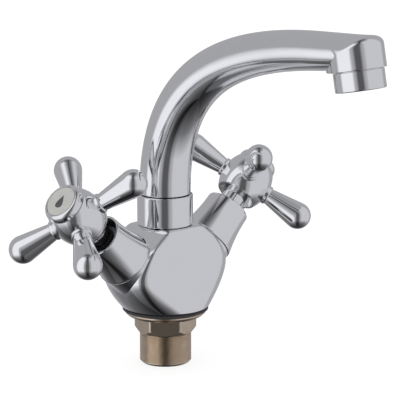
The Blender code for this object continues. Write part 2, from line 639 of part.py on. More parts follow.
def make_swivel(chrome, brass, rubber, nylon):
    """Collar nut, nipple, retainer, glide washer and two rubber rings."""
    lip_foot = COLLAR_TOP - COLLAR_LIP
    lip = NIPPLE_RADIUS + GAP
    nut = UPSTAND_RADIUS + GAP
    collar = [(nut, COLLAR_FOOT), (COLLAR_RADIUS - BREAK, COLLAR_FOOT),
              (COLLAR_RADIUS, COLLAR_FOOT + BREAK), (COLLAR_RADIUS, COLLAR_TOP - BREAK),
              (COLLAR_RADIUS - BREAK, COLLAR_TOP), (lip, COLLAR_TOP), (lip, lip_foot),
              (nut, lip_foot)]
    add_piece("collar", revolve(collar, FINE), chrome)
    glide_top = lip_foot - GAP
    glide_foot = glide_top - GLIDE_THICKNESS
    add_piece("glide_washer", tube(lip, nut - GAP, glide_foot, glide_top), nylon)
    retainer_top = glide_foot - GAP
    retainer_foot = retainer_top - RETAINER_THICKNESS
    groove_floor = NIPPLE_RADIUS - RETAINER_GROOVE_DEPTH
    add_piece("retaining_ring", tube(groove_floor + GAP, nut - GAP, retainer_foot, retainer_top),
              brass)
    plug = SPOUT_RADIUS - SPOUT_WALL - GAP
    nipple_foot = BODY_TOP - NIPPLE_DEPTH
    ring_floor = NIPPLE_RADIUS - 2 * RING_SECTION
    half_groove = RING_SECTION + RING_SIDE_ROOM
    ring_heights = [nipple_foot + rise for rise in NIPPLE_RING_RISES]
    profile = [(NIPPLE_BORE_RADIUS, nipple_foot), (NIPPLE_RADIUS, nipple_foot)]
    for height in ring_heights:
        profile += [(NIPPLE_RADIUS, height - half_groove), (ring_floor, height - half_groove),
                    (ring_floor, height + half_groove), (NIPPLE_RADIUS, height + half_groove)]
    profile += [(NIPPLE_RADIUS, retainer_foot - GAP), (groove_floor, retainer_foot - GAP),
                (groove_floor, retainer_top + GAP), (NIPPLE_RADIUS, retainer_top + GAP),
                (NIPPLE_RADIUS, SPOUT_FOOT), (plug, SPOUT_FOOT),
                (plug, SPOUT_FOOT + NIPPLE_PLUG_LENGTH),
                (NIPPLE_BORE_RADIUS, SPOUT_FOOT + NIPPLE_PLUG_LENGTH)]
    add_piece("swivel_nipple", revolve(profile), brass)
    for name, height in zip(("lower_swivel_ring", "upper_swivel_ring"), ring_heights):
        add_piece(name, torus(NIPPLE_RADIUS - RING_SECTION + RING_RELIEF, RING_SECTION - RING_RELIEF,
                              height), rubber)


def spout_path(count):
    """Centre points and directions: one long bend, then a straight run to the nozzle."""
    foot = Vector((0, 0, SPOUT_FOOT))
    turn = Vector((0, -math.cos(SPOUT_ARM_SLOPE), math.sin(SPOUT_ARM_SLOPE)))
    end = Vector((0, -SPOUT_ARM_REACH, SPOUT_FOOT + SPOUT_ARM_RISE))
    first = foot + Vector((0, 0, SPOUT_RISE_HANDLE))
    second = end - turn * SPOUT_ARM_HANDLE
    stations = []
    for i in range(count + 1):
        t = i / count
        s = 1 - t
        point = s ** 3 * foot + 3 * s * s * t * first + 3 * s * t * t * second + t ** 3 * end
        slope = s * s * (first - foot) + 2 * s * t * (second - first) + t * t * (end - second)
        stations.append((point, slope.normalized()))
    straight = (NOZZLE_REACH - SPOUT_ARM_REACH) / math.cos(SPOUT_ARM_SLOPE)
    stations.append((end + turn * straight / 2, turn))
    stations.append((end + turn * straight, turn))
    return stations


def spout_rings(count, inset, segments):
    """Elliptical rings along the path, flatter towards the tip."""
    stations = spout_path(count)
    lengths = [0.0]
    for (a, _), (b, _) in zip(stations, stations[1:]):
        lengths.append(lengths[-1] + (b - a).length)
    rings = []
    for (point, direction), length in zip(stations, lengths):
        share = (length / lengths[-1]) ** SPOUT_TAPER_POWER
        half_height = SPOUT_RADIUS - (SPOUT_RADIUS - SPOUT_TIP_HALF_HEIGHT) * share - inset
        half_width = SPOUT_RADIUS - inset
        across = Vector((1, 0, 0))
        up = across.cross(direction) * -1
        ring = []
        for i in range(segments):
            angle = 2 * math.pi * i / segments
            ring.append(point + across * half_width * math.cos(angle)
                        + up * half_height * math.sin(angle))
        rings.append(ring)
    return rings


def nozzle_matrix():
    """Frame of the nozzle: origin at its mouth's centre, +Z up its axis."""
    path_end = spout_path(8)[-1][0]
    mouth = path_end - Vector((0, 0, NOZZLE_DROP))
    mouth.y = -NOZZLE_REACH
    return Matrix.Translation(mouth) @ Matrix.Rotation(-NOZZLE_TILT, 4, 'X')


def make_spout(chrome):
    """Hollow cast spout: elliptical arm, round nozzle block and a heel behind it."""
    spout = add_piece("spout", loft(spout_rings(12, 0.0, FINE)), chrome)
    frame = nozzle_matrix()
    block = moved(rod(NOZZLE_RADIUS, 0, 2 * NOZZLE_RADIUS, FINE), frame)
    combine(spout, crowned(block, frame), 'UNION')
    heel = moved(rod(HEEL_RADIUS, 0, HEEL_HEIGHT), frame @ Matrix.Translation((0, HEEL_OFFSET, 0)))
    combine(spout, heel, 'UNION')
    waterway = spout_rings(10, SPOUT_WALL, SMALL)[:-1]
    down = Vector((0, 0, MM))
    waterway.insert(0, [point - down for point in waterway[0]])
    combine(spout, loft(waterway), 'DIFFERENCE')
    socket = rod(SPOUT_RADIUS - SPOUT_WALL, SPOUT_FOOT - MM, SPOUT_FOOT + NIPPLE_PLUG_LENGTH + GAP)
    combine(spout, socket, 'DIFFERENCE')
    thread = AERATOR_THREAD_RADIUS + GAP
    seat = AERATOR_THREAD_LENGTH + AERATOR_WASHER + 2 * GAP
    throat = AERATOR_BORE_RADIUS - FUNNEL_LEDGE
    funnel_top = seat + FUNNEL_HEIGHT
    funnel = [(0, -CUT_MARGIN), (thread, -CUT_MARGIN), (thread, seat), (throat, seat),
              (throat - 2 * FUNNEL_LEDGE, funnel_top), (0, funnel_top)]
    combine(spout, moved(revolve(funnel), frame), 'DIFFERENCE')


def crowned(block, frame):
    """Give the nozzle block the arm's crowned top, rounded off at the front."""
    end, turn = spout_path(8)[-1]
    up = Vector((0, math.sin(SPOUT_ARM_SLOPE), math.cos(SPOUT_ARM_SLOPE)))
    for vert in block.verts:
        local = frame.inverted() @ vert.co
        if local.z < MM:
            continue
        share = min(abs(vert.co.x) / SPOUT_RADIUS, 1.0)
        crown = SPOUT_TIP_HALF_HEIGHT * math.sqrt(1 - share * share) - NOZZLE_SETBACK
        ahead = max(0.0, (end.y - vert.co.y) / NOZZLE_RADIUS)
        crown -= NOZZLE_EDGE * ahead ** 6 * (crown / SPOUT_TIP_HALF_HEIGHT)
        plane = end + up * crown
        axis = (frame.to_3x3() @ Vector((0, 0, 1))).normalized()
        height = (plane - vert.co).dot(up) / axis.dot(up)
        vert.co = vert.co + axis * height
    return block


def make_aerator(nozzle, chrome, rubber, nylon, steel):
    """Screwed-in aerator: housing, washer, insert and outlet screen."""
    top = AERATOR_THREAD_LENGTH
    foot = -AERATOR_LENGTH
    mouth = AERATOR_BORE_RADIUS - AERATOR_LIP
    housing = [(mouth, foot), (AERATOR_RADIUS - BREAK, foot), (AERATOR_RADIUS, foot + BREAK),
               (AERATOR_RADIUS, -GAP), (AERATOR_THREAD_RADIUS, -GAP),
               (AERATOR_THREAD_RADIUS, top), (AERATOR_BORE_RADIUS, top),
               (AERATOR_BORE_RADIUS, foot + AERATOR_LIP), (mouth, foot + AERATOR_LIP)]
    add_piece("aerator_housing", revolve(housing), chrome, nozzle)
    insert = AERATOR_BORE_RADIUS - GAP
    screen_foot = foot + AERATOR_LIP + GAP
    screen_top = screen_foot + SCREEN_THICKNESS
    add_piece("aerator_screen", tube(SCREEN_HOLE_RADIUS, insert, screen_foot, screen_top), steel, nozzle)
    core_foot = screen_top + GAP
    core_top = top - GAP
    cup_floor = core_top - INSERT_CUP_DEPTH
    core = [(INSERT_HOLE_RADIUS, core_foot), (insert, core_foot), (insert, core_top),
            (insert - INSERT_RIM, core_top), (insert - 1.5 * INSERT_RIM, cup_floor),
            (INSERT_HOLE_RADIUS, cup_floor)]
    add_piece("aerator_insert", revolve(core), nylon, nozzle)
    washer_foot = top + GAP
    add_piece("aerator_washer",
              tube(AERATOR_BORE_RADIUS - FUNNEL_LEDGE, AERATOR_THREAD_RADIUS, washer_foot,
                   washer_foot + AERATOR_WASHER), rubber, nozzle)


def build():
    """Make every piece of the mixer."""
    clear_scene()
    chrome = make_material("chrome", (0.78, 0.78, 0.80), 0.08, 1.0)
    brass = make_material("brass", (0.62, 0.53, 0.41), 0.3, 1.0)
    rubber = make_material("rubber", (0.03, 0.03, 0.03), 0.7, 0.0)
    ceramic = make_material("ceramic", (0.88, 0.87, 0.84), 0.25, 0.0)
    nylon = make_material("nylon", (0.85, 0.85, 0.82), 0.5, 0.0)
    steel = make_material("steel", (0.6, 0.6, 0.6), 0.3, 1.0)
    enamel = make_material("enamel", (0.85, 0.85, 0.82), 0.3, 0.0)
    make_shank(brass)
    make_foot_seal(rubber)
    make_body(chrome)
    make_swivel(chrome, brass, rubber, nylon)
    make_spout(chrome)
    nozzle = add_empty("nozzle_axis", nozzle_matrix())
    make_aerator(nozzle, chrome, rubber, nylon, steel)
    for side_name, side in (("hot", -1), ("cold", 1)):
        arm = add_empty(side_name + "_axis", arm_matrix(side))
        make_bell(side_name, arm, chrome)
        shell_foot = make_headwork(side_name, arm, chrome, rubber, ceramic)
        make_spindle(side_name, arm, shell_foot, brass, rubber, ceramic)
        make_hub(side_name, arm, chrome)
        make_levers(side_name, arm, chrome)
        make_cap(side_name, arm, chrome, enamel, steel)


build()
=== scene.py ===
"""Two-handle basin mixer with a swivelling spout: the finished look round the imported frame."""
import math

import bpy
import numpy as np
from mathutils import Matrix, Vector


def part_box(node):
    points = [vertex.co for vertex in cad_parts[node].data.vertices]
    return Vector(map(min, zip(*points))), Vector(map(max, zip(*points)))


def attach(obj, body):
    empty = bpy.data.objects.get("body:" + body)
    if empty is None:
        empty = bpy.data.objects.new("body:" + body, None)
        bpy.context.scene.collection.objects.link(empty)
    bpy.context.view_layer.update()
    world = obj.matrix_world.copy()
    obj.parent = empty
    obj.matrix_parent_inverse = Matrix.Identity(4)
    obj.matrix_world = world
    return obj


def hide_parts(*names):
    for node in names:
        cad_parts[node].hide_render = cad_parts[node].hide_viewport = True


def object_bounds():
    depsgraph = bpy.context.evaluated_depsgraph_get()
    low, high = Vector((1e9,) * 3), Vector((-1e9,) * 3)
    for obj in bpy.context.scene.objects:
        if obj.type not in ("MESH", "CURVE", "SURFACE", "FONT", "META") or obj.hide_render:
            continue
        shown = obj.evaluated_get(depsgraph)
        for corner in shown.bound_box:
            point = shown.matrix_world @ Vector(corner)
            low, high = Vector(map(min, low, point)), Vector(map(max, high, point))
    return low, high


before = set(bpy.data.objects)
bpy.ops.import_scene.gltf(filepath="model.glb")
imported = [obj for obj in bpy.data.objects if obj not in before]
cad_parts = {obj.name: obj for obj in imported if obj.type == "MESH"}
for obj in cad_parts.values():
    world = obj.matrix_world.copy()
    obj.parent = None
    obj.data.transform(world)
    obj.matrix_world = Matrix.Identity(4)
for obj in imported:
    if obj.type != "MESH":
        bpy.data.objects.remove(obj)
cad_low, cad_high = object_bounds()

MM = 0.001
TURN = 2 * math.pi

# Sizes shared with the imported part, in metres
GAP = 0.3 * MM
BODY_FOOT = 4.8 * MM
BODY_HEIGHT = 45.0 * MM
BODY_TOP = BODY_FOOT + BODY_HEIGHT
FOOT_RADIUS = 23.6 * MM
TOP_HALF_DEPTH = 16.3 * MM
WIDE_HALF_WIDTH = 37.5 * MM
WIDE_HEIGHT = 30.0 * MM
TOP_HALF_LENGTH = 13.0 * MM
SHOULDER_SLOPE = math.radians(36.0)
UPSTAND_RADIUS = 12.6 * MM
UPSTAND_TOP = BODY_TOP + 7.2 * MM
ARM_TILT = math.radians(40.9)
ARM_CROSSING = 8.6 * MM
ARM_FACE = 40.5 * MM
BOSS_RADIUS = 15.0 * MM
NECK_RADIUS = 11.0 * MM
NECK_END = 53.7 * MM
CARTRIDGE_BORE = 9.3 * MM
BELL_FOOT = ARM_FACE + GAP
BELL_RIM = BELL_FOOT + 24.6 * MM
BELL_BASE_RADIUS = 15.3 * MM
BELL_RIM_RADIUS = 12.4 * MM
BELL_WALL = 1.3 * MM
LEVER_PLANE = 84.3 * MM
HUB_RADIUS = 14.2 * MM
HUB_HALF_LENGTH = 17.7 * MM
HUB_BACK = LEVER_PLANE - 10.4 * MM
HUB_NOSE = LEVER_PLANE + 10.9 * MM
CAP_RADIUS = 11.0 * MM
INDEX_RADIUS = 8.4 * MM
BULB_RADIUS = 7.5 * MM
BULB_DISTANCE = 34.8 * MM
SPOUT_FOOT = 66.7 * MM
SPOUT_RADIUS = 13.8 * MM
SPOUT_TIP_HALF_HEIGHT = 8.9 * MM
SPOUT_SLOPE = math.radians(3.4)
BEND_RISE = 55.9 * MM
BEND_REACH = 105.7 * MM
BEND_HEIGHT = 87.0 * MM
BEND_RUN_IN = 71.9 * MM
NOZZLE_DROP = 8.3 * MM
NOZZLE_RADIUS = 14.0 * MM
NOZZLE_REACH = 132.6 * MM
NOZZLE_TILT = math.radians(11.0)
NOZZLE_FRONT_ROUND = 4.2 * MM
NOZZLE_SIDE_ROUND = 0.35 * MM
CAP_HEIGHT = 4.3 * MM
CAP_RECESS = 1.1 * MM
CAP_FLANK = 3.5 * MM
COLLAR_RADIUS = 15.0 * MM
COLLAR_LOW, COLLAR_HIGH = 50.1 * MM, 66.4 * MM
SEAL_RADIUS = 23.3 * MM
SEAL_LOW, SEAL_HIGH = 2.8 * MM, 4.5 * MM
AERATOR_RADIUS = 12.7 * MM
AERATOR_LENGTH = 10.0 * MM
THREAD_RADIUS = 14.0 * MM
THREAD_PITCH, THREAD_DEPTH = 1.0 * MM, 0.45 * MM
TAIL_FOOT, TAIL_HEAD = -26.6 * MM, -9.7 * MM
HEXAGON_CORNER = 16.9 * MM
HEXAGON_FACING = math.radians(14.0)
HEXAGON_CHAMFER = math.radians(50.0)

# Soft minimum powers of the body: limits with each other, and limits with the outline
LIMIT_POWER = 60.0
PLANED_POWER = 11.0


# ---------------------------------------------------------------- surfaces

def join_grids(name, grids):
    """One mesh object from several closed skins, each a list of rings of points.

    A skin's point (i, j) is ring i at step j round it.  Neighbouring rings are joined by
    four-sided faces, and the first and last ring close on a pole at their own mean point,
    unless the skin is a loop, whose last ring joins its first.
    """
    points, faces, base = [], [], 0
    for grid, looped in grids:
        rings, around = grid.shape[:2]
        i, j = np.meshgrid(np.arange(rings if looped else rings - 1), np.arange(around),
                           indexing="ij")
        up, on = (i + 1) % rings, (j + 1) % around
        quads = np.stack([i * around + j, i * around + on, up * around + on,
                          up * around + j], -1).reshape(-1, 4)
        body = grid.reshape(-1, 3)
        tris = np.zeros((0, 3), int)
        if not looped:
            poles = np.stack([grid[0].mean(0), grid[-1].mean(0)])
            j = np.arange(around)
            on = (j + 1) % around
            low, high = len(body), len(body) + 1
            last = (rings - 1) * around
            tris = np.concatenate([
                np.stack([np.full(around, low), on, j], -1),
                np.stack([np.full(around, high), last + j, last + on], -1)])
            body = np.concatenate([body, poles])
        fans = np.concatenate([tris, quads[:, [0, 1, 2]], quads[:, [0, 2, 3]]])
        a, b, c = body[fans[:, 0]], body[fans[:, 1]], body[fans[:, 2]]
        if (a * np.cross(b, c)).sum() < 0:
            quads, tris = quads[:, ::-1], tris[:, ::-1]
        points.append(body)
        faces += (quads + base).tolist() + (tris + base).tolist()
        base += len(body)
    mesh = bpy.data.meshes.new(name)
    mesh.from_pydata(np.concatenate(points).tolist(), [], faces)
    mesh.update()
    mesh.shade_smooth()
    mesh.set_sharp_from_angle(angle=math.radians(38))
    thing = bpy.data.objects.new(name, mesh)
    bpy.context.scene.collection.objects.link(thing)
    return thing


def rounded(corners, step=0.5 * MM):
    """A line through (radius, height, rounding) corners, each corner turned on an arc.

    A corner of rounding r between two runs that meet at angle t is cut back by
    r / tan(t / 2) and replaced by an arc of radius r; runs are split into short steps.
    """
    flat = np.array([c[:2] for c in corners], float)
    turns = [c[2] if len(c) > 2 else 0.0 for c in corners]
    line = []
    for k, (corner, radius) in enumerate(zip(flat, turns)):
        if radius <= 0 or k in (0, len(flat) - 1):
            line.append(corner[None])
            continue
        back, ahead = flat[k - 1] - corner, flat[k + 1] - corner
        back, ahead = back / np.linalg.norm(back), ahead / np.linalg.norm(ahead)
        half = math.acos(float(np.clip(back @ ahead, -1, 1))) / 2
        start, end = corner + back * radius / math.tan(half), corner + ahead * radius / math.tan(half)
        middle = corner + (back + ahead) / np.linalg.norm(back + ahead) * radius / math.sin(half)
        sweep = math.pi - 2 * half
        share = np.linspace(0, 1, max(4, int(sweep / 0.2)) + 1)[:, None]
        first, last = start - middle, end - middle
        line.append(middle + (first * np.sin((1 - share) * sweep)
                              + last * np.sin(share * sweep)) / math.sin(sweep))
    line = np.concatenate(line)
    runs = []
    for a, b in zip(line, line[1:]):
        length = np.linalg.norm(b - a)
        count = max(1, int(math.ceil(length / step)))
        runs.append(a + (b - a) * (np.arange(count) / count)[:, None])
    return np.concatenate(runs + [line[-1:]])


def axes_along(direction):
    """Three unit vectors, the last along a direction and the second near world Y."""
    out = np.array(direction, float)
    out /= np.linalg.norm(out)
    side = np.cross((0.0, 1.0, 0.0), out)
    if np.linalg.norm(side) < 1e-6:
        side = np.array((1.0, 0.0, 0.0))
    side /= np.linalg.norm(side)
    return np.stack([side, np.cross(out, side), out])


def turned(profile, origin=(0, 0, 0), direction=(0, 0, 1), around=96):
    """Surface of revolution: point(i, t) = origin + r_i (a cos t + b sin t) + h_i d.

    (r_i, h_i) runs along the profile, d is the axis and a, b are square to it.
    """
    a, b, d = axes_along(direction)
    t = np.arange(around) / around * TURN
    ring = np.cos(t)[:, None] * a + np.sin(t)[:, None] * b
    return (np.array(origin) + profile[:, 0, None, None] * ring
            + profile[:, 1, None, None] * d)


def smallest(first, second, power):
    """Soft minimum of two lengths: (a^-p + b^-p)^(-1/p)."""
    return (first ** -power + second ** -power) ** (-1.0 / power)


SIDES = {"hot": -1, "cold": 1}


def arm_axis(side):
    """Origin and direction of the arm on one side."""
    return (0, 0, ARM_CROSSING), (side * math.cos(ARM_TILT), 0, math.sin(ARM_TILT))


def body_skin(around=288):
    """Cast body: at height z the outline is a superellipse with its corners planed.

    r(t) = soft minimum of 1 / (|cos t / w|^n + |sin t / d|^n)^(1/n) and x_max / |cos t|,
    where w, d and n change with height, and x_max is where the arm's face or the sloped
    shoulder cuts that height.  The top edge turns in on a small arc.
    """
    edge, foot_edge = 1.8 * MM, 0.7 * MM
    rise = np.concatenate([
        foot_edge * (1 - np.cos(np.linspace(0, math.pi / 2, 6))),
        np.linspace(foot_edge, BODY_HEIGHT - edge, 150)[1:-1],
        BODY_HEIGHT - edge + edge * np.sin(np.linspace(0, math.pi / 2, 9))])
    inward = np.zeros(len(rise))
    inward[:6] = foot_edge * (1 - np.sin(np.linspace(0, math.pi / 2, 6)))
    inward[-9:] = edge * (1 - np.cos(np.linspace(0, math.pi / 2, 9)))
    share = rise / BODY_HEIGHT
    wide = np.minimum(rise / WIDE_HEIGHT, 1.0)
    half_width = WIDE_HALF_WIDTH - (WIDE_HALF_WIDTH - FOOT_RADIUS) * (1 - wide) ** 2
    half_depth = TOP_HALF_DEPTH + (FOOT_RADIUS - TOP_HALF_DEPTH) * (1 - share) ** 1.25
    squareness = 2.0 + 4.0 * share
    z = BODY_FOOT + rise
    planed = (ARM_FACE - 0.3 * MM - (z - ARM_CROSSING) * math.sin(ARM_TILT)) / math.cos(ARM_TILT)
    sloped = TOP_HALF_LENGTH + (BODY_TOP - z) / math.tan(SHOULDER_SLOPE)
    limit = smallest(planed, sloped, LIMIT_POWER)
    t = (np.arange(around) + 0.5) / around * TURN
    c, s = np.abs(np.cos(t)) + 1e-9, np.abs(np.sin(t)) + 1e-9
    n = squareness[:, None]
    egg = ((c / half_width[:, None]) ** n + (s / half_depth[:, None]) ** n) ** (-1 / n)
    reach = smallest(egg, limit[:, None] / c, PLANED_POWER) - inward[:, None]
    rings = np.stack([reach * np.cos(t), reach * np.sin(t),
                      np.broadcast_to(z[:, None], reach.shape)], -1)
    shrink = np.linspace(1, 0.05, 12)[1:, None, None]
    top = rings[-1] * np.concatenate([np.ones(2), np.zeros(1)]) * shrink
    top[..., 2] = z[-1]
    bottom = rings[0] * np.concatenate([np.ones(2), np.zeros(1)]) * shrink[::-1]
    bottom[..., 2] = z[0]
    return np.concatenate([bottom, rings, top])


def spout_line(count):
    """Centre line of the spout: one cubic bend, then a straight run to the nozzle.

    p(t) = (1-t)^3 a + 3 (1-t)^2 t b + 3 (1-t) t^2 c + t^3 d, with its derivative for the
    direction; returned with the length share up to each point.
    """
    ahead = np.array([0, -math.cos(SPOUT_SLOPE), math.sin(SPOUT_SLOPE)])
    a = np.array([0, 0, SPOUT_FOOT])
    b = a + np.array([0, 0, BEND_RISE])
    d = np.array([0, -BEND_REACH, SPOUT_FOOT + BEND_HEIGHT])
    c = d - ahead * BEND_RUN_IN
    t = np.linspace(0, 1, count)[:, None]
    s = 1 - t
    bend = s ** 3 * a + 3 * s * s * t * b + 3 * s * t * t * c + t ** 3 * d
    way = s * s * (b - a) + 2 * s * t * (c - b) + t * t * (d - c)
    way /= np.linalg.norm(way, axis=1)[:, None]
    run = (NOZZLE_REACH - BEND_REACH) / math.cos(SPOUT_SLOPE)
    extra = np.linspace(0, 1, 24)[1:, None]
    line = np.concatenate([bend, d + ahead * run * extra])
    way = np.concatenate([way, np.broadcast_to(ahead, (23, 3))])
    steps = np.linalg.norm(np.diff(line, axis=0), axis=1)
    length = np.concatenate([[0], np.cumsum(steps)])
    return line, way, length / length[-1]


def spout_skin(around=128):
    """Arm: an ellipse square to the centre line, p + a w cos t + b h(s) sin t.

    Half height h falls from the full radius at the foot to its least at the tip as the
    length share to the power 1.3; the foot edge turns in on a small arc.
    """
    line, way, share = spout_line(180)
    t = np.arange(around) / around * TURN
    up = np.cross(way, (1.0, 0.0, 0.0))
    half_height = SPOUT_RADIUS - (SPOUT_RADIUS - SPOUT_TIP_HALF_HEIGHT) * share ** 1.3
    half_width = np.full(len(line), SPOUT_RADIUS)
    edge = 0.7 * MM
    arc = np.linspace(0, math.pi / 2, 6)
    foot = [SPOUT_FOOT + edge * (1 - math.cos(v)) for v in arc]
    inset = [edge * (1 - math.sin(v)) for v in arc]
    keep = line[:, 2] > SPOUT_FOOT + edge * 1.2
    line, up = line[keep], up[keep]
    half_height, half_width = half_height[keep], half_width[keep]
    line = np.concatenate([[(0, 0, z) for z in foot], line])
    up = np.concatenate([np.broadcast_to((0.0, 1.0, 0.0), (6, 3)), up])
    half_height = np.concatenate([[SPOUT_RADIUS - i for i in inset], half_height])
    half_width = np.concatenate([[SPOUT_RADIUS - i for i in inset], half_width])
    across = np.array((1.0, 0.0, 0.0))
    rings = (line[:, None] + across * (half_width[:, None] * np.cos(t))[..., None]
             + up[:, None] * (half_height[:, None] * np.sin(t))[..., None])
    under = rings[0] * (1.0, 1.0, 0.0) * np.linspace(0.3, 0.97, 8)[:, None, None]
    under[..., 2] = SPOUT_FOOT
    return np.concatenate([under, rings])


def nozzle_frame():
    """Origin at the mouth's centre and the axes of the tilted nozzle block."""
    end = spout_line(180)[0][-1]
    mouth = np.array([0, -NOZZLE_REACH, end[2] - NOZZLE_DROP])
    axis = np.array([0, math.sin(NOZZLE_TILT), math.cos(NOZZLE_TILT)])
    return mouth, axis, np.cross(axis, (1.0, 0.0, 0.0)), end


def nozzle_skin(around=160):
    """Nozzle block: a tilted cylinder whose top follows the arm's crown.

    Top height over a point of the disc is the ellipse h sqrt(1 - (x / w)^2) above the arm's
    line; towards the edge it drops on an arc whose radius grows from the sides to the front.
    """
    mouth, axis, ahead, end = nozzle_frame()
    across = np.array((1.0, 0.0, 0.0))
    normal = np.array([0, math.sin(SPOUT_SLOPE), math.cos(SPOUT_SLOPE)])
    t = np.arange(around) / around * TURN

    def crown(radius):
        """Point of the crowned top at a radius of the disc, for every angle round it."""
        flat = mouth + radius * (np.cos(t)[:, None] * across + np.sin(t)[:, None] * ahead)
        share = np.clip(np.abs(flat[:, 0]) / (SPOUT_RADIUS + 0.35 * MM), 0, 1)
        lift = SPOUT_TIP_HALF_HEIGHT * np.sqrt(1 - share ** 2) + 0.02 * MM
        height = ((end - flat) @ normal + lift) / (axis @ normal)
        front = np.clip(np.sin(t) * np.sign((ahead @ (0, -1, 0))), 0, 1)
        corner = NOZZLE_SIDE_ROUND + NOZZLE_FRONT_ROUND * front ** 3
        depth = np.clip((radius - NOZZLE_RADIUS + corner) / corner, 0, 1)
        return flat, height - corner * (1 - np.sqrt(1 - depth ** 2)), corner

    lip = 0.5 * MM
    rows = []
    for v in np.linspace(0.1, 0.96, 8):
        rows.append(mouth + (NOZZLE_RADIUS - lip) * v
                    * (np.cos(t)[:, None] * across + np.sin(t)[:, None] * ahead))
    for v in np.linspace(0, math.pi / 2, 5):
        radius = NOZZLE_RADIUS - lip * (1 - math.sin(v))
        rows.append(mouth + radius * (np.cos(t)[:, None] * across + np.sin(t)[:, None] * ahead)
                    + axis * lip * (1 - math.cos(v)))
    flat, rim, corner = crown(NOZZLE_RADIUS)
    for v in np.linspace(0, 1, 24)[1:]:
        rows.append(flat + axis * (lip + (rim - lip) * v)[:, None])
    bend = np.sin(np.linspace(math.pi / 2, 0, 12)[1:])
    crown_band = NOZZLE_SIDE_ROUND + NOZZLE_FRONT_ROUND
    for radius in np.concatenate([NOZZLE_RADIUS - crown_band * (1 - bend),
                                  (NOZZLE_RADIUS - crown_band) * np.linspace(1, 0.03, 12)[1:]]):
        flat, height, corner = crown(radius)
        rows.append(flat + axis * height[:, None])
    return np.stack(rows)


# ---------------------------------------------------------------- materials

class Value:
    """A number inside a material: arithmetic on it adds the Math node that does it."""

    def __init__(self, maker, socket):
        self.maker = maker
        self.socket = socket

    def math(self, operation, *others):
        """Math node with this value first."""
        return self.maker.node("ShaderNodeMath", {"operation": operation},
                               dict(enumerate((self, *others))))

    def __add__(self, other):
        return self.math("ADD", other)

    __radd__ = __add__

    def __sub__(self, other):
        return self.math("SUBTRACT", other)

    def __rsub__(self, other):
        return self.maker.node("ShaderNodeMath", {"operation": "SUBTRACT"}, {0: other, 1: self})

    def __mul__(self, other):
        return self.math("MULTIPLY", other)

    __rmul__ = __mul__


class Maker:
    """Builds one node tree, of a material or of the surroundings."""

    def __init__(self, tree):
        self.tree = tree
        self.tree.nodes.clear()

    def node(self, kind, settings=None, inputs=None, output=0):
        """A node of one type: its settings first, then its sockets; gives one output."""
        node = self.tree.nodes.new(kind)
        for key, setting in (settings or {}).items():
            if key == "stops":
                ramp = node.color_ramp
                while len(ramp.elements) < len(setting):
                    ramp.elements.new(0.5)
                for element, (place, colour) in zip(ramp.elements, setting):
                    element.position = place
                    element.color = colour
            else:
                setattr(node, key, setting)
        for key, given in (inputs or {}).items():
            if isinstance(given, Value):
                self.tree.links.new(given.socket, node.inputs[key])
            else:
                node.inputs[key].default_value = given
        return Value(self, node.outputs[output]) if node.outputs else None

    def place(self, scale=(1, 1, 1), turn=(0, 0, 0)):
        """Object coordinates, scaled and turned."""
        where = self.node("ShaderNodeTexCoord", output="Object")
        return self.node("ShaderNodeMapping", {}, {"Vector": where, "Scale": scale,
                                                   "Rotation": turn})

    def noise(self, size, detail=2.0, scale=(1, 1, 1), rough=0.5):
        """Noise whose lumps are about a size in metres."""
        return self.node("ShaderNodeTexNoise", {}, {
            "Vector": self.place(scale), "Scale": 1.0 / size, "Detail": detail,
            "Roughness": rough})

    def blend(self, mask, first, second):
        """Colour that goes from the first to the second as the mask goes from 0 to 1."""
        return self.node("ShaderNodeMix", {"data_type": "RGBA"},
                         {0: mask, 6: first, 7: second}, output=2)

    def bump(self, height, depth):
        """Bump of a height that runs from 0 to 1, with its full depth in metres."""
        return self.node("ShaderNodeBump", {}, {"Height": height, "Distance": depth,
                                                "Strength": 1.0})


def finish_of(name, build, **constants):
    """A material: its varying sockets from a function, the steady ones set on the shader."""
    material = bpy.data.materials.new(name)
    material.use_nodes = True
    maker = Maker(material.node_tree)
    inputs = dict(constants)
    inputs.update(build(maker))
    shader = maker.node("ShaderNodeBsdfPrincipled", {}, inputs)
    maker.node("ShaderNodeOutputMaterial", {}, {"Surface": shader})
    return material


def bell_recess_unpolished_and_shade(m):
    """1 on what lies inside the bells, where nothing is polished and where the colour is darkened as
    painted shade of the recess, and 0 elsewhere.

    s = |x| cos a + (z - c) sin a runs along the arm and u = (z - c) cos a - |x| sin a across
    it, so r^2 = u^2 + y^2 is measured from the arm's axis.
    """
    where = m.node("ShaderNodeTexCoord", output="Object")
    x, y, z = (m.node("ShaderNodeSeparateXYZ", {}, {0: where}, output=k) for k in range(3))
    out, up = x.math("ABSOLUTE"), z - ARM_CROSSING
    along = out * math.cos(ARM_TILT) + up * math.sin(ARM_TILT)
    off = up * math.cos(ARM_TILT) - out * math.sin(ARM_TILT)
    radius = (off * off + y * y).math("SQRT")
    inner = BELL_RIM_RADIUS - BELL_WALL + 0.2 * MM
    return radius.math("LESS_THAN", inner) * along.math("LESS_THAN", BELL_RIM - 1 * MM)


def chrome(lump, lump_depth, grain, gloss, base=(0.90, 0.905, 0.915, 1), unpolished_and_shade=None):
    """Plated chrome: slow waves of the polished casting under very fine polishing marks."""
    def build(m):
        waves = m.noise(lump, 2.0)
        marks = m.noise(grain, 3.0, (1, 1, 6))
        film = m.noise(9 * MM, 4.0, rough=0.6)
        height = waves + marks * 0.012
        tint = tuple(0.965 * v for v in base[:3]) + (1,)
        colour, rough = m.blend(film, base, tint), film * 0.03 + marks * 0.02 + gloss
        if unpolished_and_shade:
            # Inside the bells the metal is rougher because it is unpolished, and its colour is
            # darkened to grey as painted shade of the recess.
            unpolished_and_shade_mask = unpolished_and_shade(m)
            colour = m.blend(unpolished_and_shade_mask, colour, (0.27, 0.27, 0.28, 1))
            rough = rough + unpolished_and_shade_mask * 0.40
        return {"Base Color": colour, "Roughness": rough, "Normal": m.bump(height, lump_depth)}
    return build


